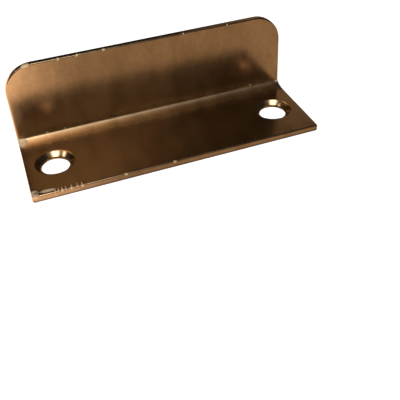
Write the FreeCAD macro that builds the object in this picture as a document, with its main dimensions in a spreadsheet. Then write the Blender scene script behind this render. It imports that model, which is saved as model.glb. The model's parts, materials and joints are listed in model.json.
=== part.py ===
import FreeCAD, Part

import math
import os

import Sketcher

# Angle strike plate, millimetres.
#
# One strip of sheet metal is bent once along its length. Its foot lies flat
# and takes two countersunk screws from above. Its upright stands along the
# foot's back edge, with two large rounded top corners.
#
# X runs along the plate, the foot's front edge faces -Y and +Z points up.
# The origin is midway between the screw holes, on the foot's underside.

os.makedirs("parts", exist_ok=True)
Vector = FreeCAD.Vector
document = FreeCAD.newDocument("angle_strike_plate")

# Driving dimensions: alias, value and what it measures.
DIMENSIONS = (
    ("plate_length", 60.0, "end to end, along X"),
    ("foot_depth", 20.7, "front edge of the foot to the upright's back face"),
    ("upright_height", 18.7, "underside of the foot to the top edge"),
    ("sheet_thickness", 1.4, "the same in the foot and in the upright"),
    ("bend_inner_radius", 1.4, "inside of the bend between foot and upright"),
    ("upright_corner_radius", 6.0, "the two top corners, seen from the front"),
    ("foot_corner_radius", 0.5, "the two front corners, seen from above"),
    ("edge_rounding", 0.3, "the tumbled edges all round the sheet"),
    ("hole_end_inset", 6.0, "screw hole centre to the nearer end"),
    ("hole_front_inset", 9.6, "screw hole centre to the foot's front edge"),
    ("screw_hole_diameter", 5.7, "straight part of the hole"),
    ("countersink_diameter", 7.9, "cone at the foot's top face"),
    ("hole_land", 0.48, "height of the straight part, under the cone"),
    ("rim_rounding", 0.12, "the worn rims of the screw holes"),
)

# The cone goes from the foot's top face down to the hole's straight part.
CONE_RUN = "(sizes.countersink_diameter - sizes.screw_hole_diameter) / 2"
CONE_DEPTH = "(sizes.sheet_thickness - sizes.hole_land)"

# A rounding stays under this share of its wall, so that its two sides never meet.
LARGEST_ROUNDING_SHARE = 0.45

# Two faces that meet at a larger angle than this, in degrees, make a sharp edge.
SMOOTH_ANGLE = 15.0
TOLERANCE = 1e-4


def make_sheet():
    """The spreadsheet that holds the driving dimensions, one row for each."""
    sheet = document.addObject("Spreadsheet::Sheet", "sizes")
    for row, (alias, value, meaning) in enumerate(DIMENSIONS, start=1):
        sheet.set(f"A{row}", alias)
        sheet.set(f"B{row}", str(value))
        sheet.set(f"C{row}", meaning)
        sheet.setAlias(f"B{row}", alias)
    document.recompute()
    return sheet


def make_body(label):
    """An empty body at the origin; its label names its file."""
    body = document.addObject("PartDesign::Body", label)
    body.Label = label
    body.Placement = FreeCAD.Placement()
    return body


def origin_plane(body, role):
    """One of the body's own origin planes."""
    for feature in body.Origin.OriginFeatures:
        if feature.Role == role:
            return feature
    raise ValueError(f"no origin plane {role}")


def make_sketch(body, name, role):
    """A sketch that lies on one of the body's origin planes."""
    sketch = body.newObject("Sketcher::SketchObject", name)
    sketch.AttachmentSupport = [(origin_plane(body, role), "")]
    sketch.MapMode = "FlatFace"
    return sketch


def bind(sketch, name, constraint, expression):
    """Adds a named dimension to the sketch and ties it to the spreadsheet."""
    number = sketch.addConstraint(constraint)
    sketch.renameConstraint(number, name)
    sketch.setExpression(f"Constraints.{name}", expression)


def edge_names(shape, wanted):
    """Names of the shape's edges that pass the test."""
    return [f"Edge{number}" for number, edge in enumerate(shape.Edges, start=1) if wanted(edge)]


def is_sharp(shape, edge):
    """True where two faces meet at a corner and not in one smooth surface."""
    faces = shape.ancestorsOfType(edge, Part.Face)
    if len(faces) != 2:
        return False
    middle = edge.valueAt((edge.FirstParameter + edge.LastParameter) / 2)
    normals = [face.normalAt(*face.Surface.parameter(middle)) for face in faces]
    return math.degrees(normals[0].getAngle(normals[1])) > SMOOTH_ANGLE


def round_edges(body, name, names, radius):
    """Rounds the named edges of the body's last feature."""
    base = body.Tip
    fillet = body.newObject("PartDesign::Fillet", name)
    fillet.Base = (base, names)
    fillet.setExpression("Radius", radius)
    body.Tip = fillet
    document.recompute()
    return fillet


def draw_section(body, sheet):
    """The bent strip seen from its end: eight lines and arcs, foot to the left."""
    front = -sheet.hole_front_inset
    back = front + sheet.foot_depth
    top = sheet.upright_height
    thickness = sheet.sheet_thickness
    inner_radius = sheet.bend_inner_radius
    outer_radius = inner_radius + thickness
    bend_centre = Vector(back - outer_radius, outer_radius)
    quarter = (-math.pi / 2, 0.0)
    up = Vector(0, 0, 1)

    sketch = make_sketch(body, "section", "YZ_Plane")
    underside, outer_bend, back_face, top_edge, inner_face, inner_bend, foot_face, front_edge = range(8)
    sketch.addGeometry([
        Part.LineSegment(Vector(front, 0), Vector(bend_centre.x, 0)),
        Part.ArcOfCircle(Part.Circle(bend_centre, up, outer_radius), *quarter),
        Part.LineSegment(Vector(back, outer_radius), Vector(back, top)),
        Part.LineSegment(Vector(back, top), Vector(back - thickness, top)),
        Part.LineSegment(Vector(back - thickness, top), Vector(back - thickness, outer_radius)),
        Part.ArcOfCircle(Part.Circle(bend_centre, up, inner_radius), *quarter),
        Part.LineSegment(Vector(bend_centre.x, thickness), Vector(front, thickness)),
        Part.LineSegment(Vector(front, thickness), Vector(front, 0)),
    ], False)

    # Point numbers of a line or an arc, and of the sketch's origin.
    start, end, centre = 1, 2, 3
    origin = (-1, start)
    horizontal_axis = -1
    sketch.addConstraint([
        Sketcher.Constraint("Tangent", underside, end, outer_bend, start),
        Sketcher.Constraint("Tangent", outer_bend, end, back_face, start),
        Sketcher.Constraint("Coincident", back_face, end, top_edge, start),
        Sketcher.Constraint("Coincident", top_edge, end, inner_face, start),
        Sketcher.Constraint("Tangent", inner_face, end, inner_bend, end),
        Sketcher.Constraint("Tangent", inner_bend, start, foot_face, start),
        Sketcher.Constraint("Coincident", foot_face, end, front_edge, start),
        Sketcher.Constraint("Coincident", front_edge, end, underside, start),
        Sketcher.Constraint("Coincident", outer_bend, centre, inner_bend, centre),
        Sketcher.Constraint("Horizontal", top_edge),
        Sketcher.Constraint("Horizontal", underside),
        Sketcher.Constraint("Horizontal", foot_face),
        Sketcher.Constraint("Vertical", back_face),
        Sketcher.Constraint("Vertical", inner_face),
        Sketcher.Constraint("Vertical", front_edge),
        Sketcher.Constraint("PointOnObject", underside, start, horizontal_axis),
    ])
    bind(sketch, "front", Sketcher.Constraint("DistanceX", underside, start, *origin, -front),
         "sizes.hole_front_inset")
    bind(sketch, "depth", Sketcher.Constraint("DistanceX", underside, start, back_face, end, back - front),
         "sizes.foot_depth")
    bind(sketch, "height", Sketcher.Constraint("DistanceY", underside, start, back_face, end, top),
         "sizes.upright_height")
    bind(sketch, "wall", Sketcher.Constraint("DistanceX", top_edge, end, top_edge, start, thickness),
         "sizes.sheet_thickness")
    bind(sketch, "bend", Sketcher.Constraint("Radius", inner_bend, inner_radius),
         "sizes.bend_inner_radius")
    document.recompute()
    return sketch


def draw_hole_centres(body, sheet):
    """Two equal circles on the foot's top face, one near each end."""
    reach = sheet.plate_length / 2 - sheet.hole_end_inset
    radius = sheet.screw_hole_diameter / 2
    up = Vector(0, 0, 1)

    sketch = make_sketch(body, "screw_hole_centres", "XY_Plane")
    sketch.setExpression("AttachmentOffset.Base.z", "sizes.sheet_thickness")
    left, right = range(2)
    sketch.addGeometry([
        Part.Circle(Vector(-reach, 0), up, radius),
        Part.Circle(Vector(reach, 0), up, radius),
    ], False)
    start, centre = 1, 3
    origin = (-1, start)
    horizontal_axis = -1
    sketch.addConstraint([
        Sketcher.Constraint("PointOnObject", left, centre, horizontal_axis),
        Sketcher.Constraint("PointOnObject", right, centre, horizontal_axis),
        Sketcher.Constraint("Equal", left, right),
    ])
    bind(sketch, "left_reach", Sketcher.Constraint("DistanceX", left, centre, *origin, reach),
         "sizes.plate_length / 2 - sizes.hole_end_inset")
    bind(sketch, "right_reach", Sketcher.Constraint("DistanceX", *origin, right, centre, reach),
         "sizes.plate_length / 2 - sizes.hole_end_inset")
    bind(sketch, "width", Sketcher.Constraint("Diameter", left, 2 * radius),
         "sizes.screw_hole_diameter")
    document.recompute()
    return sketch


def make_strike_plate(sheet):
    """The folded plate: bent strip, rounded outline, countersunk holes."""
    body = make_body("strike_plate")

    strip = body.newObject("PartDesign::Pad", "bent_strip")
    strip.Profile = draw_section(body, sheet)
    strip.SideType = "Symmetric"
    strip.setExpression("Length", "sizes.plate_length")
    body.Tip = strip
    document.recompute()

    def is_top_corner(edge):
        box = edge.BoundBox
        is_across = box.XLength < TOLERANCE and box.ZLength < TOLERANCE
        return is_across and abs(box.ZMax - sheet.upright_height) < TOLERANCE

    def is_front_corner(edge):
        box = edge.BoundBox
        is_upright = box.XLength < TOLERANCE and box.YLength < TOLERANCE
        return is_upright and abs(box.YMin + sheet.hole_front_inset) < TOLERANCE

    round_edges(body, "upright_corners", edge_names(body.Tip.Shape, is_top_corner),
                "sizes.upright_corner_radius")
    round_edges(body, "foot_corners", edge_names(body.Tip.Shape, is_front_corner),
                "sizes.foot_corner_radius")

    # Only the two outlines of the sheet are sharp now, its front and its back one.
    blank = body.Tip.Shape
    round_edges(body, "tumbled_edges", edge_names(blank, lambda edge: is_sharp(blank, edge)),
                f"min(sizes.edge_rounding; {LARGEST_ROUNDING_SHARE} * sizes.sheet_thickness)")

    centres = draw_hole_centres(body, sheet)
    holes = body.newObject("PartDesign::Hole", "screw_holes")
    holes.Profile = centres
    document.recompute()
    holes.DepthType = "ThroughAll"
    holes.DrillPoint = "Flat"
    holes.HoleCutType = "Countersink"
    holes.setExpression("Diameter", "sizes.screw_hole_diameter")
    holes.setExpression("HoleCutDiameter", "sizes.countersink_diameter")
    holes.setExpression("HoleCutCountersinkAngle", f"2 * atan({CONE_RUN} / {CONE_DEPTH})")
    body.Tip = holes
    document.recompute()

    # Only the rims of the screw holes are sharp now.
    punched = body.Tip.Shape
    rims = edge_names(punched, lambda edge: is_sharp(punched, edge))
    round_edges(body, "hole_rims", rims,
                f"min(sizes.rim_rounding; {LARGEST_ROUNDING_SHARE} * sizes.hole_land)")
    return body


def countersunk_hole_volume(sheet):
    """What one screw hole takes out of the foot, before its rims are rounded."""
    hole_radius = sheet.screw_hole_diameter / 2
    rim_radius = sheet.countersink_diameter / 2
    cone_depth = sheet.sheet_thickness - sheet.hole_land
    cone = math.pi * cone_depth / 3 * (rim_radius ** 2 + rim_radius * hole_radius + hole_radius ** 2)
    straight = math.pi * hole_radius ** 2 * sheet.hole_land
    return cone + straight


def check_document():
    """Stops if any object of the document failed to build."""
    for item in document.Objects:
        if "Invalid" in item.State or "Error" in item.State:
            raise RuntimeError(f"{item.Label} failed: {item.State}")


def check_body(body):
    """Stops unless the body is one sound solid, and prints its size."""
    shape = body.Shape
    if shape.isNull() or not shape.isValid() or len(shape.Solids) != 1:
        raise RuntimeError(f"{body.Label} is not one sound solid")
    box = shape.optimalBoundingBox(False)
    print(f"{body.Label}: {box.XLength:.2f} x {box.YLength:.2f} x {box.ZLength:.2f} mm, "
          f"{shape.Volume:.2f} mm3, {len(shape.Faces)} faces")


sizes = make_sheet()
strike_plate = make_strike_plate(sizes)
document.recompute()
check_document()
check_body(strike_plate)

sound_strip = document.getObject("tumbled_edges").Shape.Volume
punched_strip = document.getObject("screw_holes").Shape.Volume
print(f"each screw hole takes out {(sound_strip - punched_strip) / 2:.3f} mm3, "
      f"by its sizes {countersunk_hole_volume(sizes):.3f} mm3")

strike_plate.Shape.exportStep(f"parts/{strike_plate.Label}.step")
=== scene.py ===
# %% [markdown]
# # A folded strike plate with a satin bronze finish
#
# A strike plate is the part of a latch that stays on the frame while the bolt moves. This
# one is an angle: a flat foot that is screwed down, and an upright flange that the bolt
# closes against. It was made from one strip of sheet steel, which was cut, countersunk,
# bent once along its length, tumbled to take off its burrs, and plated.
#
# The script makes it in much the same way. It draws the sheet's face, bends it, gives it a
# thickness, drills it, and only then does the finish. The holes come after the bend here,
# because a face with no holes in it is easier to bend. Last come the studio and the camera.

# %% Load the frame
import json
import math

import bmesh
import bpy
from mathutils import Euler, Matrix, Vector


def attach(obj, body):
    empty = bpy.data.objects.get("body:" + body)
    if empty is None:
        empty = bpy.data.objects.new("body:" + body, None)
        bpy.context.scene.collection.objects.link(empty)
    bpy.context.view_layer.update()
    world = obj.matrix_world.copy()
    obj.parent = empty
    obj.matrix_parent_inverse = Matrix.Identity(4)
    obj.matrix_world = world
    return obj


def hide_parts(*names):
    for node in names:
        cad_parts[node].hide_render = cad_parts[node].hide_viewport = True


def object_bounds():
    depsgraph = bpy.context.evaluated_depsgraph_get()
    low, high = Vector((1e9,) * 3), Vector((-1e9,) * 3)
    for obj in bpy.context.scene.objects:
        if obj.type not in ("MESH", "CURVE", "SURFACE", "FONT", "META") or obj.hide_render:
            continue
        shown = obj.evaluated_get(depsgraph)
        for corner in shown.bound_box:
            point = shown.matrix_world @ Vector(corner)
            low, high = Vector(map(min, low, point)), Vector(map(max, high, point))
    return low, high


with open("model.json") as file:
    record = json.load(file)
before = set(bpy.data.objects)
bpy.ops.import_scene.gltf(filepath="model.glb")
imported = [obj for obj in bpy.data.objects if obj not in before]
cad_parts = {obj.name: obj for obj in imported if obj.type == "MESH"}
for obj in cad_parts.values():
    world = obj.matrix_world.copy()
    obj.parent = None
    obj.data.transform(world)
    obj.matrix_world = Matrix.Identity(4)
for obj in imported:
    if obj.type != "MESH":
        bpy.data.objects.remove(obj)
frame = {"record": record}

cad_low, cad_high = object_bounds()
print("the measured plate reaches from", tuple(cad_low), "to", tuple(cad_high))

# %% [markdown]
# ## Sizes
#
# On the real plate a few sizes decide all others: how long, deep and tall it is, how thick
# the sheet is, and where the screws go. They could be typed in again, but the plate has
# been measured already, so they are read. The outer sizes are those of the frame's own box.
# The record has the screw holes and the upright's two faces, which lie one sheet apart.

# %% Read the sizes
MM = 0.001
mounts = {mount["name"]: mount for mount in frame["record"]["mounts"]}

left, right = cad_low.x, cad_high.x
front, back = cad_low.y, cad_high.y
top = cad_high.z
sheet = mounts["upright_back"]["pos_m"][1] - mounts["upright_front"]["pos_m"][1]
inner_face = back - sheet
hole_radius = mounts["screw_holes"]["dims"]["hole_r_mm"] * MM
hole_reach = mounts["screw_holes"]["dims"]["spacing_x_mm"] * MM / 2
print(f"sheet {sheet / MM:.2f} mm, holes {2 * hole_radius / MM:.2f} mm, {2 * hole_reach / MM:.0f} mm apart")

# %% [markdown]
# ## Working in edit mode
#
# By hand, one clicks on the edges that an operator should act on. A script has to find them
# by their place instead. These helpers open a piece, select what passes a test, and close
# it again, so that each later step reads like the instruction one would give to a person.

# %% Helpers for selecting
TOUCHING = 0.02 * MM
MERGE_WITHIN = 0.001 * MM
LEVEL = 0.99  # a face whose normal rises at least this much lies flat


def pick(piece):
    """Selects this piece alone and makes it the active one."""
    bpy.ops.object.select_all(action="DESELECT")
    piece.select_set(True)
    bpy.context.view_layer.objects.active = piece


def open_piece(piece):
    pick(piece)
    bpy.ops.object.mode_set(mode="EDIT")


def close_piece():
    bpy.ops.object.mode_set(mode="OBJECT")


def select_where(piece, kind, wanted):
    """Selects the vertices, edges or faces that pass the test, and nothing else."""
    bpy.ops.mesh.select_mode(type=kind)
    bpy.ops.mesh.select_all(action="DESELECT")
    mesh = bmesh.from_edit_mesh(piece.data)
    parts = {"VERT": mesh.verts, "EDGE": mesh.edges, "FACE": mesh.faces}[kind]
    found = [part for part in parts if wanted(part)]
    for part in found:
        part.select_set(True)
    bmesh.update_edit_mesh(piece.data)
    return len(found)


def middle(edge):
    return (edge.verts[0].co + edge.verts[1].co) / 2


def near(value, target):
    return abs(value - target) < TOUCHING


def merge_and_orient():
    """Merges the open piece's doubled vertices and turns its faces the same way."""
    bpy.ops.mesh.select_all(action="SELECT")
    bpy.ops.mesh.remove_doubles(threshold=MERGE_WITHIN)
    bpy.ops.mesh.normals_make_consistent(inside=False)


def apply_modifier(piece, kind, **settings):
    """Adds a modifier with these settings and applies it at once."""
    pick(piece)
    modifier = piece.modifiers.new(kind.lower(), kind)
    for name, value in settings.items():
        setattr(modifier, name, value)
    bpy.ops.object.modifier_apply(modifier=modifier.name)

# %% [markdown]
# ## The sheet's face, and its bend
#
# The face that we see is one strip of metal: a flat foot, a bend and a flat upright. It
# could be cut out of a block, but a real bend is a turn about an axis, and Spin does just
# that: it turns the foot's back edge a quarter turn about the bend's centre. The upright is
# then an extrusion of the last edge.
#
# On the real plate the bend is not quite round. It meets the upright in a crisp step and
# runs out softly on the foot, where it catches a band of light. So it is spun small, as high
# as it climbs on the upright, and then stretched to its full reach on the foot. That makes
# it a quarter of an ellipse.

# %% Draw the face
BEND_REACH = 3.3 * MM
BEND_RISE = 1.0 * MM
BEND_STEPS = 32

bend_y = inner_face - BEND_RISE
bend_z = sheet + BEND_RISE

bpy.ops.object.select_all(action="DESELECT")
bpy.ops.mesh.primitive_plane_add(size=1.0, location=((left + right) / 2, (front + bend_y) / 2, sheet))
plate = bpy.context.active_object
plate.name = "angle_strike"
plate.scale = (right - left, bend_y - front, 1.0)
bpy.ops.object.transform_apply(location=True, rotation=True, scale=True)

open_piece(plate)
select_where(plate, "EDGE", lambda edge: near(middle(edge).y, bend_y))
bpy.ops.mesh.spin(steps=BEND_STEPS, angle=-math.pi / 2, center=(0, bend_y, bend_z), axis=(1, 0, 0))
select_where(plate, "VERT", lambda vert: vert.co.y > bend_y - TOUCHING)
bpy.ops.transform.resize(value=(1, BEND_REACH / BEND_RISE, 1), center_override=(0, inner_face, sheet))
select_where(plate, "EDGE", lambda edge: near(middle(edge).z, bend_z) and near(middle(edge).x, 0))
bpy.ops.mesh.extrude_region_move(TRANSFORM_OT_translate={"value": (0, 0, top - bend_z)})
close_piece()
print("the face is", [round(side / MM, 2) for side in plate.dimensions], "mm")

# %% [markdown]
# ## Round corners, then a thickness
#
# The two upper corners were punched with a large radius, and the foot's corners are only
# just broken. A Boolean could cut them, but a bevel on a corner's vertex draws the same arc
# in one step. Solidify then gives the face its wall, away from the side we see, so the
# bend's outside comes out wider than its inside, as on any bent sheet.

# %% Round the corners and thicken
UPRIGHT_CORNER = 6.0 * MM
CORNER_STEPS = 20
FOOT_CORNER = 0.5 * MM
FOOT_CORNER_STEPS = 5

open_piece(plate)
select_where(plate, "VERT", lambda vert: near(vert.co.z, top))
bpy.ops.mesh.bevel(offset=UPRIGHT_CORNER, segments=CORNER_STEPS, affect="VERTICES", clamp_overlap=False)
select_where(plate, "VERT", lambda vert: near(vert.co.y, front))
bpy.ops.mesh.bevel(offset=FOOT_CORNER, segments=FOOT_CORNER_STEPS, affect="VERTICES", clamp_overlap=False)
merge_and_orient()
foot_points_down = select_where(plate, "FACE", lambda face: face.normal.z < -LEVEL)
if foot_points_down:
    bpy.ops.mesh.select_all(action="SELECT")
    bpy.ops.mesh.flip_normals()
close_piece()

apply_modifier(plate, "SOLIDIFY", thickness=sheet, offset=-1.0, use_even_offset=True, use_rim=True)
sides = [round(side / MM, 2) for side in plate.dimensions]
print("the plate is", sides, "mm with", len(plate.data.polygons), "faces")

# %% [markdown]
# ## Tumbled edges
#
# A punched blank has sharp edges, and tumbling wears them round by about the same amount
# everywhere. Every edge between a broad face and the cut side turns by a right angle, so a
# test of the angle finds them all, as Select Sharp Edges does by hand, and one bevel rounds
# them. They are what catches the light along the outline, so they are worth their segments.

# %% Round the outline's edges
EDGE_ROUNDING = 0.3 * MM
EDGE_STEPS = 5
SHARP_TURN = math.radians(60)

open_piece(plate)
select_where(plate, "EDGE", lambda edge: edge.is_manifold and edge.calc_face_angle() > SHARP_TURN)
bpy.ops.mesh.bevel(offset=EDGE_ROUNDING, segments=EDGE_STEPS, affect="EDGES", clamp_overlap=False)
close_piece()
print("edges rounded,", len(plate.data.polygons), "faces")

# %% [markdown]
# ## Countersunk screw holes
#
# Each hole has a straight land at the bottom and a cone above it for the screw's head. The
# faces could be inset and pushed down, but a workshop drills, and so does this cell. Its
# drill is a cylinder whose top is pulled up and widened into the cone, and a Boolean takes
# the drill's shape out of the plate. The same drill, made twice, gives two equal holes.

# %% Shape a drill and cut both holes
COUNTERSINK_RADIUS = 3.95 * MM
HOLE_LAND = 0.48 * MM
HOLE_STEPS = 96
CUT_PAST = 1.0 * MM

slope = (COUNTERSINK_RADIUS - hole_radius) / (sheet - HOLE_LAND)


def make_drill(x):
    """A cylinder that reaches up to the land's top, and the cone above it."""
    depth = CUT_PAST + HOLE_LAND
    rise = sheet + CUT_PAST - HOLE_LAND
    widening = (hole_radius + slope * rise) / hole_radius
    bpy.ops.object.select_all(action="DESELECT")
    bpy.ops.mesh.primitive_cylinder_add(
        vertices=HOLE_STEPS, radius=hole_radius, depth=depth, location=(x, 0, HOLE_LAND - depth / 2))
    drill = bpy.context.active_object
    bpy.ops.object.transform_apply(location=True, rotation=True, scale=True)
    open_piece(drill)
    select_where(drill, "FACE", lambda face: face.normal.z > LEVEL)
    bpy.ops.mesh.extrude_region_move(TRANSFORM_OT_translate={"value": (0, 0, rise)})
    bpy.ops.transform.resize(value=(widening, widening, 1), center_override=(x, 0, 0))
    close_piece()
    return drill


def subtract(piece, cutter):
    apply_modifier(piece, "BOOLEAN", operation="DIFFERENCE", solver="EXACT", object=cutter)
    bpy.data.objects.remove(cutter)


for hole_x in (-hole_reach, hole_reach):
    subtract(plate, make_drill(hole_x))
print("holes cut,", len(plate.data.polygons), "faces")

# %% [markdown]
# ### The holes' rims
#
# Tumbling and plating have softened the rings that the drill left: the cone's mouth, the
# throat where the cone meets the land, and the land's lower end. A test of the angle alone
# would find all three at once, but each has a rounding of its own, so each is found by its
# height and its distance from the hole's axis. The bevels are narrow, but they hold the
# bright rings of light that make a countersink look like one.

# %% Round the rims
MOUTH_ROUNDING = 0.15 * MM
THROAT_ROUNDING = 0.2 * MM
RIM_ROUNDING = 0.12 * MM
RIM_STEPS = 5
RING_TURN = math.radians(20)

# height, radius and rounding of each ring
RINGS = (
    (sheet, COUNTERSINK_RADIUS, MOUTH_ROUNDING),
    (HOLE_LAND, hole_radius, THROAT_ROUNDING),
    (0.0, hole_radius, RIM_ROUNDING),
)


def is_ring(edge, height, radius):
    """True for the edges of a ring around either hole, at this height and radius."""
    if not edge.is_manifold or edge.calc_face_angle() < RING_TURN:
        return False
    spot = middle(edge)
    reach = math.hypot(abs(spot.x) - hole_reach, spot.y)
    return near(spot.z, height) and near(reach, radius)


for height, radius, rounding in RINGS:
    open_piece(plate)
    found = select_where(plate, "EDGE", lambda edge: is_ring(edge, height, radius))
    bpy.ops.mesh.bevel(offset=rounding, segments=RIM_STEPS, affect="EDGES", clamp_overlap=False)
    close_piece()
    print(found, "edges rounded by", round(rounding / MM, 2), "mm")

# %% [markdown]
# ## Nicks from use
#
# The real plate has been knocked about: its top edge and the foot's front edge carry a few
# tiny dents that flash as bright points. Bump mapping could fake them, but they sit right on
# the outline, where only real geometry shows. A small ball bites each one out of the edge.

# %% Bite the nicks out of the edges
TOP_NICKS = (-18.7, -14.9, -9.4, 7.6, 17.5)
FRONT_NICKS = (-24.3, -22.6, -20.4, -11.8, -1.8)
NICK_RADIUS = 0.42 * MM
NICK_DEPTH = 0.2 * MM
BALL_SEGMENTS = 16
BALL_RINGS = 10

# A rounded edge lies inside its old sharp corner by this share of its radius, each way.
ROUNDED_AWAY = 0.29

# Both edges face the front and the sky, so this way leads out of the metal on both.
outward = Vector((0, -1, 1)).normalized()


def nick(piece, x, y, z):
    """Takes a small dent out of an edge at this point."""
    centre = Vector((x, y, z)) + outward * (NICK_RADIUS - NICK_DEPTH)
    bpy.ops.object.select_all(action="DESELECT")
    bpy.ops.mesh.primitive_uv_sphere_add(
        segments=BALL_SEGMENTS, ring_count=BALL_RINGS, radius=NICK_RADIUS, location=centre)
    ball = bpy.context.active_object
    bpy.ops.object.transform_apply(location=True, rotation=True, scale=True)
    subtract(piece, ball)


corner_cut = ROUNDED_AWAY * EDGE_ROUNDING
for x in TOP_NICKS:
    nick(plate, x * MM, inner_face + corner_cut, top - corner_cut)
for x in FRONT_NICKS:
    nick(plate, x * MM, front + corner_cut, sheet - corner_cut)
print(len(TOP_NICKS) + len(FRONT_NICKS), "nicks bitten")

# %% [markdown]
# ## Clean the mesh and shade it
#
# Broad faces should shade flat and rounded edges smooth. Smooth shading alone bends the
# light on the broad faces too, so the normals are weighted by face area, which keeps them
# flat right up to the rounding.

# %% Merge, orient and smooth
SMOOTH_UNDER = math.radians(35)

open_piece(plate)
merge_and_orient()
close_piece()
bpy.ops.object.shade_smooth_by_angle(angle=SMOOTH_UNDER)
apply_modifier(plate, "WEIGHTED_NORMAL", mode="FACE_AREA", weight=100, keep_sharp=True)
print("the finished plate has", len(plate.data.vertices), "vertices")

# %% [markdown]
# ## Building shaders in code
#
# A shader is a net of small nodes, and by hand each one is placed and wired with the mouse.
# In code that takes three lines a node, which would bury the idea. The bench below makes a
# node, feeds it and hands back its output in one call, so a formula reads as a formula.

# %% Helpers for shader nodes
def new_material(name):
    material = bpy.data.materials.new(name)
    material.use_nodes = True
    return material


class Bench:
    """A shader's node tree, with short calls for the nodes that this script uses."""

    def __init__(self, tree):
        self.tree = tree

    def node(self, kind, **settings):
        made = self.tree.nodes.new(kind)
        for name, value in settings.items():
            setattr(made, name, value)
        return made

    def feed(self, socket, value):
        """Links an output to the socket, or writes a plain value into it."""
        if isinstance(value, bpy.types.NodeSocket):
            self.tree.links.new(value, socket)
        else:
            socket.default_value = value

    def place(self):
        """Where a point lies on its own object, in metres."""
        return self.node("ShaderNodeTexCoord").outputs["Object"]

    def math(self, operation, first, second=0.0, third=0.0):
        made = self.node("ShaderNodeMath", operation=operation)
        for socket, value in zip(made.inputs, (first, second, third)):
            self.feed(socket, value)
        return made.outputs[0]

    def vector(self, operation, first, second=(0, 0, 0)):
        made = self.node("ShaderNodeVectorMath", operation=operation)
        self.feed(made.inputs[0], first)
        self.feed(made.inputs[1], second)
        return made.outputs["Value" if operation == "LENGTH" else "Vector"]

    def ramp(self, value, start, end, low=0.0, high=1.0):
        """Eases from low to high while the value goes from start to end."""
        made = self.node("ShaderNodeMapRange", interpolation_type="SMOOTHSTEP")
        for socket, number in zip(made.inputs[:5], (value, start, end, low, high)):
            self.feed(socket, number)
        return made.outputs["Result"]

    def noise(self, place, scale, detail, roughness=0.5):
        made = self.node("ShaderNodeTexNoise")
        self.feed(made.inputs["Vector"], place)
        self.feed(made.inputs["Scale"], scale)
        self.feed(made.inputs["Detail"], detail)
        self.feed(made.inputs["Roughness"], roughness)
        return made.outputs["Fac"]

    def bump(self, height, distance, below=None):
        """Raises the surface by a height map, on top of the bump below it."""
        made = self.node("ShaderNodeBump")
        self.feed(made.inputs["Height"], height)
        self.feed(made.inputs["Distance"], distance)
        if below:
            self.feed(made.inputs["Normal"], below)
        return made.outputs["Normal"]

    def blend(self, factor, first, second):
        made = self.node("ShaderNodeMix", data_type="RGBA")
        self.feed(made.inputs["Factor"], factor)
        self.feed(made.inputs["A"], first)
        self.feed(made.inputs["B"], second)
        return made.outputs["Result"]


print("the bench can make:", ", ".join(name for name in vars(Bench) if not name.startswith("_")))

# %% [markdown]
# ## Where the plating is worn, and where highlights are painted
#
# Hands, screws and the next parts in the tumbler rub the film thin at corners and edges, and
# there it is paler and brighter. The worn places could be painted on a picture, but a
# picture has to be wrapped around the plate. Here each place is a soft ellipsoid around a
# point of the plate itself, so it wraps around an edge on its own.
#
# There are five kinds: rubbed corners, small spots along the bend, short ticks across the front edge,
# glints in the nicks, and a few faint scuffs on the broad faces. The spots along the bend and the glints in
# the nicks are painted highlights, in the same pale colour as bare metal. The two nicks at the right of the
# top edge get no painted glint, and stay as dark as the film.

# %% List the worn places and the painted highlights
inner_face_y = inner_face / MM
top_edge_z = top / MM
front_edge_y = front / MM
foot_top_z = sheet / MM

# middle and reach of each place, in millimetres
RUBBED_AND_BEND_GLINTS = (
    ((-29.3, front_edge_y + 1.0, 1.3), (1.0, 1.5, 0.9)),
    ((-26.9, front_edge_y + 1.1, 1.4), (2.0, 0.6, 0.5)),
    ((-25.1, inner_face_y + 0.3, top_edge_z - 0.25), (1.2, 0.75, 0.6)),
    ((-29.3, inner_face_y - 1.0, 1.9), (1.3, 1.5, 1.0)),
    # the last four are painted highlights on the bend, not wear
    ((29.6, inner_face_y, 2.1), (0.35, 0.35, 0.35)),
    ((22.9, inner_face_y, 2.5), (0.35, 0.3, 0.3)),
    ((-23.7, inner_face_y, 2.4), (0.25, 0.3, 0.2)),
    ((-19.9, inner_face_y, 2.4), (0.25, 0.3, 0.2)),
)
SCUFFS = (
    ((1.1, 3.4, 1.4), (0.9, 0.16, 0.3)),
    ((6.4, inner_face_y, 13.2), (0.14, 0.3, 1.6)),
    ((-8.0, inner_face_y, 11.5), (0.16, 0.3, 2.2)),
    ((-6.0, -2.0, 1.4), (0.8, 0.18, 0.3)),
)
EDGE_TICKS = (-25.6, -24.9, -24.2, -23.5, -22.4, -21.3, -20.4)
TICK_SIZE = (0.13, 0.75, 0.3)
TICK_INSET = 0.5
GLINT_SIZE = (0.45, 0.45, 0.45)
SHINY_TOP_NICKS = TOP_NICKS[:3]

# glints are painted highlights on the nicks; the ticks are worn metal
glints = [((x, inner_face_y, top_edge_z), GLINT_SIZE) for x in SHINY_TOP_NICKS]
glints += [((x, front_edge_y + TICK_INSET, foot_top_z), TICK_SIZE) for x in EDGE_TICKS]
glints += [((x, front_edge_y, foot_top_z), GLINT_SIZE) for x in FRONT_NICKS]
print(len(RUBBED_AND_BEND_GLINTS), "rubbed places,", len(SCUFFS), "scuffs and", len(glints), "ticks and glints")

# %% [markdown]
# ### From places to masks
#
# A mask is 1 at bare metal and at painted highlights, and 0 where the film is whole. Several places make
# one mask by taking the largest value at each point. Noise then breaks up the rubbed corners, and the
# painted spots along the bend with them, so that the corners look rubbed and not painted. The ticks and
# glints are too small to need that.

# %% Mask the bare metal and the painted highlights
SPOT_SOFT = 0.5
GLINT_SOFT = 0.35
SCUFF_SOFT = 0.8
RUB_SCALE = 900.0  # a noise's scale is roughly its spots per metre
RAGGED = (0.25, 0.45)


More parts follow.
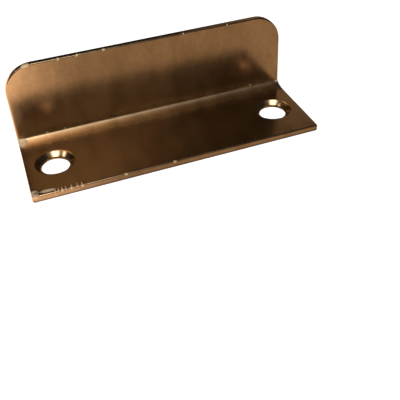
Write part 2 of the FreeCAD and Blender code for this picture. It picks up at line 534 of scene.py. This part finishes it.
def spot_mask(bench, place, centre, reach, soft):
    """1 inside an ellipsoid and 0 outside, over a soft share of its reach, in millimetres."""
    offset = bench.vector("SUBTRACT", place, tuple(value * MM for value in centre))
    scaled = bench.vector("DIVIDE", offset, tuple(value * MM for value in reach))
    return bench.ramp(bench.vector("LENGTH", scaled), 1.0 - soft, 1.0, 1.0, 0.0)


def cover(bench, place, spots, soft):
    """One mask for all of these places."""
    masks = [spot_mask(bench, place, centre, reach, soft) for centre, reach in spots]
    total = masks[0]
    for mask in masks[1:]:
        total = bench.math("MAXIMUM", total, mask)
    return total


bronze = new_material("satin_bronze")
bench = Bench(bronze.node_tree)
shader = bronze.node_tree.nodes["Principled BSDF"]
place = bench.place()

ragged = bench.ramp(bench.noise(place, RUB_SCALE, detail=3.0, roughness=0.65), *RAGGED)
# the rubbed places include the painted highlights on the bend
rubbed_and_bend_glints = bench.math("MULTIPLY", cover(bench, place, RUBBED_AND_BEND_GLINTS, SPOT_SOFT), ragged)
# one mask for the bare metal and the painted highlights
bare_and_glints = bench.math("MAXIMUM", rubbed_and_bend_glints, cover(bench, place, glints, GLINT_SOFT))
scuffed = cover(bench, place, SCUFFS, SCUFF_SOFT)
print("masks made with", len(bronze.node_tree.nodes), "nodes")

# %% [markdown]
# ## Satin bronze plating
#
# The plating is a thin metal film, so all of its colour is in its reflection: the shader is
# fully metallic, and the base colour is the tint of a mirror image in it. A flat tint would
# look like plastic. The real film took unevenly, so the tint drifts between a dark and a
# pale bronze, in clouds with fine speckle in them. The clouds are drawn out across the
# strip, up the upright and back over the foot.

# %% Tint the film
FILM_DARK = (0.45, 0.29, 0.152, 1)
FILM_PALE = (0.555, 0.365, 0.202, 1)
# pale bare metal, also the colour of the painted highlights
BARE_AND_GLINT_COLOUR = (0.98, 0.79, 0.53, 1)
DRAWN_OUT = (1.0, 0.5, 0.5)
CLOUD_SCALE = 260.0
SPECKLE_SCALE = 1500.0
SPECKLE_SHARE = 0.22
DARK_TO_PALE = (0.36, 0.64)

clouds = bench.noise(bench.vector("MULTIPLY", place, DRAWN_OUT), CLOUD_SCALE, detail=5.0, roughness=0.65)
speckle = bench.noise(place, SPECKLE_SCALE, detail=2.0)
cloud_part = bench.math("MULTIPLY", clouds, 1 - SPECKLE_SHARE)
mottle = bench.math("ADD", cloud_part, bench.math("MULTIPLY", speckle, SPECKLE_SHARE))
pale = bench.math("ADD", bench.ramp(mottle, *DARK_TO_PALE), scuffed)
film = bench.blend(pale, FILM_DARK, FILM_PALE)
# bare metal and the painted highlights take the pale colour
bench.feed(shader.inputs["Base Color"], bench.blend(bare_and_glints, film, BARE_AND_GLINT_COLOUR))
shader.inputs["Metallic"].default_value = 1.0
print("the film drifts from", FILM_DARK[:3], "to", FILM_PALE[:3])

# %% [markdown]
# ### How well it mirrors
#
# Roughness decides how far a reflection is smeared out. On the real plate it is a satin
# mirror that goes in and out with the same clouds as the tint. It is duller where rubbing
# has scratched it, and a little duller along the bend, where the sheet was stretched.

# %% Set the polish
POLISH = 0.205
CLOUDS = 0.10
RUBBED_DULL = 0.60
BEND_DULL = 0.10
BEND_FADE = (0.4, 1.5)

to_bend = bench.vector("SUBTRACT", place, (0, inner_face, sheet))
squeezed = bench.vector("MULTIPLY", to_bend, (0, 1 / BEND_REACH, 0.5 / BEND_RISE))
near_bend = bench.ramp(bench.vector("LENGTH", squeezed), *BEND_FADE, 1.0, 0.0)

polish = bench.math("MULTIPLY_ADD", clouds, CLOUDS, POLISH - CLOUDS / 2)
dull_rub = bench.math("MULTIPLY", bare_and_glints, RUBBED_DULL)
dulled = bench.math("MAXIMUM", dull_rub, bench.math("MULTIPLY", near_bend, BEND_DULL))
bench.feed(shader.inputs["Roughness"], bench.math("ADD", polish, dulled))
print("roughness is about", POLISH, "and rises to about", POLISH + RUBBED_DULL, "where it is rubbed")

# %% [markdown]
# ### Not quite flat
#
# A mirror gives away the smallest unevenness. Rolling left a long wave in the sheet,
# tumbling a fine grain, and the rubbed corners are scraped. All three are too shallow or too
# fine to model, so they are bumps, each laid on the one before it.

# %% Make the surface slightly uneven
ROLLING_WAVE = 30e-6
ROLLING_SCALE = 90.0
GRAIN_HEIGHT = 2.6e-6
SCRAPE_HEIGHT = 120e-6
SCRAPE_SCALE = 2600.0

rolled = bench.bump(bench.noise(place, ROLLING_SCALE, detail=1.0), ROLLING_WAVE)
tumbled = bench.bump(speckle, GRAIN_HEIGHT, rolled)
scrapes = bench.math("MULTIPLY", bench.noise(place, SCRAPE_SCALE, detail=1.0), rubbed_and_bend_glints)
scraped = bench.bump(scrapes, SCRAPE_HEIGHT, tumbled)
bench.feed(shader.inputs["Normal"], scraped)

plate.data.materials.clear()
plate.data.materials.append(bronze)
print("bronze has", len(bronze.node_tree.nodes), "nodes")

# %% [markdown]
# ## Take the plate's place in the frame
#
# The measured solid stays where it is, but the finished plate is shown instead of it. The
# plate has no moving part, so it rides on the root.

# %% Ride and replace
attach(plate, "root")
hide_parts("strike_plate")
print(plate.name, "stands for the measured strike_plate")

# %% [markdown]
# ## The studio floor
#
# A mirror shows what stands around it, so for metal the studio matters as much as the
# material. The floor is white paper. Lamps alone could light it until it is white, but they
# would burn out the metal too. So the paper glows by itself, and takes just enough light
# from the lamps to be darker where the plate shades it.

# %% Lay the paper
FLOOR_WIDTH = 12.0
FLOOR_GAP = 0.02 * MM
PAPER_GLOW = 0.86
PAPER_WHITE = (1, 1, 1, 1)
PAPER_COLOUR = (0.6, 0.6, 0.6, 1)
BLACK = (0, 0, 0, 1)

bpy.ops.object.select_all(action="DESELECT")
bpy.ops.mesh.primitive_plane_add(size=FLOOR_WIDTH, location=(0, 0, -FLOOR_GAP))
floor = bpy.context.active_object
floor.name = "floor"
paper = new_material("white_paper")
bench = Bench(paper.node_tree)
paper_shader = paper.node_tree.nodes["Principled BSDF"]
paper_shader.inputs["Roughness"].default_value = 1.0
paper_shader.inputs["Specular IOR Level"].default_value = 0.0
floor.data.materials.append(paper)
print("floor laid", FLOOR_GAP / MM, "mm below the plate")

# %% [markdown]
# ### The paper as the metal sees it
#
# The upright mirrors the paper in front of it, and is brighter at its left end than at its
# right. A lamp at the left would light real paper that way, but it would also light the
# metal. Light Path tells the paper's shader when a reflection is looking, and for
# reflections the glow comes from a ramp that falls off to the right.
#
# Paper that the plate shades is much darker. That shade starts in front of the foot and ends
# in the back of each hole, where light falls through on to the paper and gives the land at
# the hole's far side its pale look. Further back the plate itself hides the paper.

# %% Let the paper fall off in the metal
PAPER_LEFT = (2.0, 1.58, 1.28, 1)
PAPER_RIGHT = (0.50, 0.375, 0.27, 1)
UNDER_LEFT = (0.17, 0.10, 0.05, 1)
UNDER_RIGHT = (0.035, 0.02, 0.01, 1)
FALL_START = -38 * MM
FALL_END = -10 * MM
SHADOW_REACH = 0.9 * MM
LIT_IN_HOLES = 2.25 * MM
LIT_EDGE = 0.2 * MM

axes = bench.node("ShaderNodeSeparateXYZ")
bench.feed(axes.inputs[0], bench.place())
to_the_right = bench.ramp(axes.outputs["X"], FALL_START, FALL_END)
open_paper = bench.blend(to_the_right, PAPER_LEFT, PAPER_RIGHT)
shaded_paper = bench.blend(to_the_right, UNDER_LEFT, UNDER_RIGHT)

from_middle = bench.math("ABSOLUTE", axes.outputs["X"])
beside = bench.ramp(from_middle, right, right + SHADOW_REACH / 2, 1.0, 0.0)
before = bench.ramp(axes.outputs["Y"], front - SHADOW_REACH, front)
behind = bench.ramp(axes.outputs["Y"], LIT_IN_HOLES, LIT_IN_HOLES + LIT_EDGE, 1.0, 0.0)
shaded = bench.math("MULTIPLY", beside, bench.math("MULTIPLY", before, behind))
in_metal = bench.blend(shaded, open_paper, shaded_paper)

in_mirror = bench.node("ShaderNodeLightPath").outputs["Is Glossy Ray"]
bench.feed(paper_shader.inputs["Base Color"], bench.blend(in_mirror, PAPER_COLOUR, BLACK))
bench.feed(paper_shader.inputs["Emission Color"], bench.blend(in_mirror, PAPER_WHITE, in_metal))
paper_shader.inputs["Emission Strength"].default_value = PAPER_GLOW
print("the paper's glow falls off over", round((FALL_END - FALL_START) / MM), "mm")

# %% [markdown]
# ## A dark tent
#
# Photographers put shiny metal in a dark tent and then add each light where its reflection
# is wanted. A dark world would do the same, but it would also be the picture's background.
# So the tent is a large dark ball around the set, and the camera looks through it.

# %% Raise the tent
TENT_RADIUS = 5.0
TENT_GREY = 0.03
LAMP_WHITE = (1.0, 1.0, 1.0)
CARD_CORE = 0.35

bpy.ops.object.select_all(action="DESELECT")
bpy.ops.mesh.primitive_uv_sphere_add(segments=48, ring_count=24, radius=TENT_RADIUS)
tent = bpy.context.active_object
tent.name = "dark_tent"


def glowing(name, colour, strength, fades=False):
    """A material that only gives light, evenly or fading out towards a card's rim."""
    material = new_material(name)
    nodes = material.node_tree.nodes
    nodes.remove(nodes["Principled BSDF"])
    bench = Bench(material.node_tree)
    glow = bench.node("ShaderNodeEmission")
    bench.feed(glow.inputs["Color"], (*colour, 1))
    bench.feed(glow.inputs["Strength"], strength)
    light = glow.outputs[0]
    if fades:
        mix = bench.node("ShaderNodeMixShader")
        from_centre = bench.vector("LENGTH", bench.place())
        bench.feed(mix.inputs[0], bench.ramp(from_centre, CARD_CORE, 1.0, 1.0, 0.0))
        bench.feed(mix.inputs[1], bench.node("ShaderNodeBsdfTransparent").outputs[0])
        bench.feed(mix.inputs[2], light)
        light = mix.outputs[0]
    bench.feed(nodes["Material Output"].inputs["Surface"], light)
    return material


tent.data.materials.append(glowing("tent_cloth", LAMP_WHITE, TENT_GREY))
tent.visible_camera = False
print("tent of", 2 * TENT_RADIUS, "m around the plate")

# %% [markdown]
# ## Soft lights
#
# Lamps with hard rims show as hard shapes in satin metal. These are ovals of light on cards,
# bright in the core and fading out towards the rim, as a lamp behind tracing paper does.
#
# A flat mirror shows only a small part of its surroundings, so each card is named by its
# direction and serves its own part of the plate:
#
# - front_left lights the foot and the lower upright, which mirror it in each other
# - above_left gives the band of light along the bend, the countersinks' white walls, and
#   most of the light on rounded edges and bare spots
# - front_low and above_right lift the bend's two sides a little
# - behind_right is seen past the upright's end, in the foot's right end and the top edge
# - left_high puts one bright point in each countersink and one on the upper left corner

# %% Hang the cards
CARD_DISTANCE = 2.0
WARM_WALL = (1.0, 0.72, 0.48)

# sideways share of the direction, turn over the plate (0 front, 90 above), reach, strength, colour
CARDS = {
    "front_left": (0.05, 46, (0.18, 0.24), 0.9, LAMP_WHITE),
    "front_low": (0.16, 20, (0.18, 0.22), 0.15, LAMP_WHITE),
    "above_left": (-0.18, 70, (0.36, 0.62), 5.4, LAMP_WHITE),
    "above_right": (0.2, 74, (0.22, 0.5), 0.14, LAMP_WHITE),
    "behind_right": (0.5, 150, (0.3, 0.2), 0.36, WARM_WALL),
    "left_high": (-0.68, 90, (0.14, 0.2), 5.0, LAMP_WHITE),
}


def card(name, sideways, turn, reach, strength, colour):
    """An oval of soft light that faces the plate."""
    level = math.sqrt(1 - sideways ** 2)
    angle = math.radians(turn)
    way = Vector((sideways, -level * math.cos(angle), level * math.sin(angle)))
    bpy.ops.object.select_all(action="DESELECT")
    bpy.ops.mesh.primitive_plane_add(size=2.0, location=way * CARD_DISTANCE)
    piece = bpy.context.active_object
    piece.name = name
    piece.rotation_euler = way.to_track_quat("Z", "Y").to_euler()
    piece.scale = (reach[0] * CARD_DISTANCE, reach[1] * CARD_DISTANCE, 1)
    piece.data.materials.append(glowing(name, colour, strength, fades=True))
    piece.visible_camera = False


for name, settings in CARDS.items():
    card(name, *settings)
print(len(CARDS), "cards around the plate")

# %% [markdown]
# ## A white world
#
# From low down the camera looks over the paper's far edge and through the tent, at the
# world. So the world is white as well, and the tent keeps its light away from the plate.

# %% World
world = bpy.data.worlds.new("studio")
bpy.context.scene.world = world
world.use_nodes = True
background = world.node_tree.nodes["Background"]
background.inputs["Color"].default_value = PAPER_WHITE
background.inputs["Strength"].default_value = 1.0
print("world is", world.name)

# %% [markdown]
# ## Camera
#
# The camera stands where the photographer stood, close to the plate and a little to its
# left. Its place and turn were worked out from the plate's own corners in the picture. The
# plate sits above the frame's middle, so the lens is shifted down. Tipping the camera down
# would do that too, but would change the perspective.

# %% Camera
CAMERA_PLACE = (-28.99, -106.43, 76.84)  # millimetres
CAMERA_TURN = (53.967, 2.491, -20.368)  # degrees
LENS = 57.233
SENSOR = 36.0
LENS_SHIFT = -0.125
NEAREST_SEEN = 0.01

camera_data = bpy.data.cameras.new("camera")
camera = bpy.data.objects.new("camera", camera_data)
bpy.context.scene.collection.objects.link(camera)
camera.location = Vector(CAMERA_PLACE) * MM
camera.rotation_euler = Euler([math.radians(turn) for turn in CAMERA_TURN], "XYZ")
camera_data.sensor_width = SENSOR
camera_data.lens = LENS
camera_data.shift_y = LENS_SHIFT
camera_data.clip_start = NEAREST_SEEN
bpy.context.scene.camera = camera
bpy.context.scene.view_settings.view_transform = "Standard"
print("camera stands", round(camera.location.length / MM), "mm from the plate's middle")

# %% [markdown]
# ## Size
#
# The looks must not change the size.
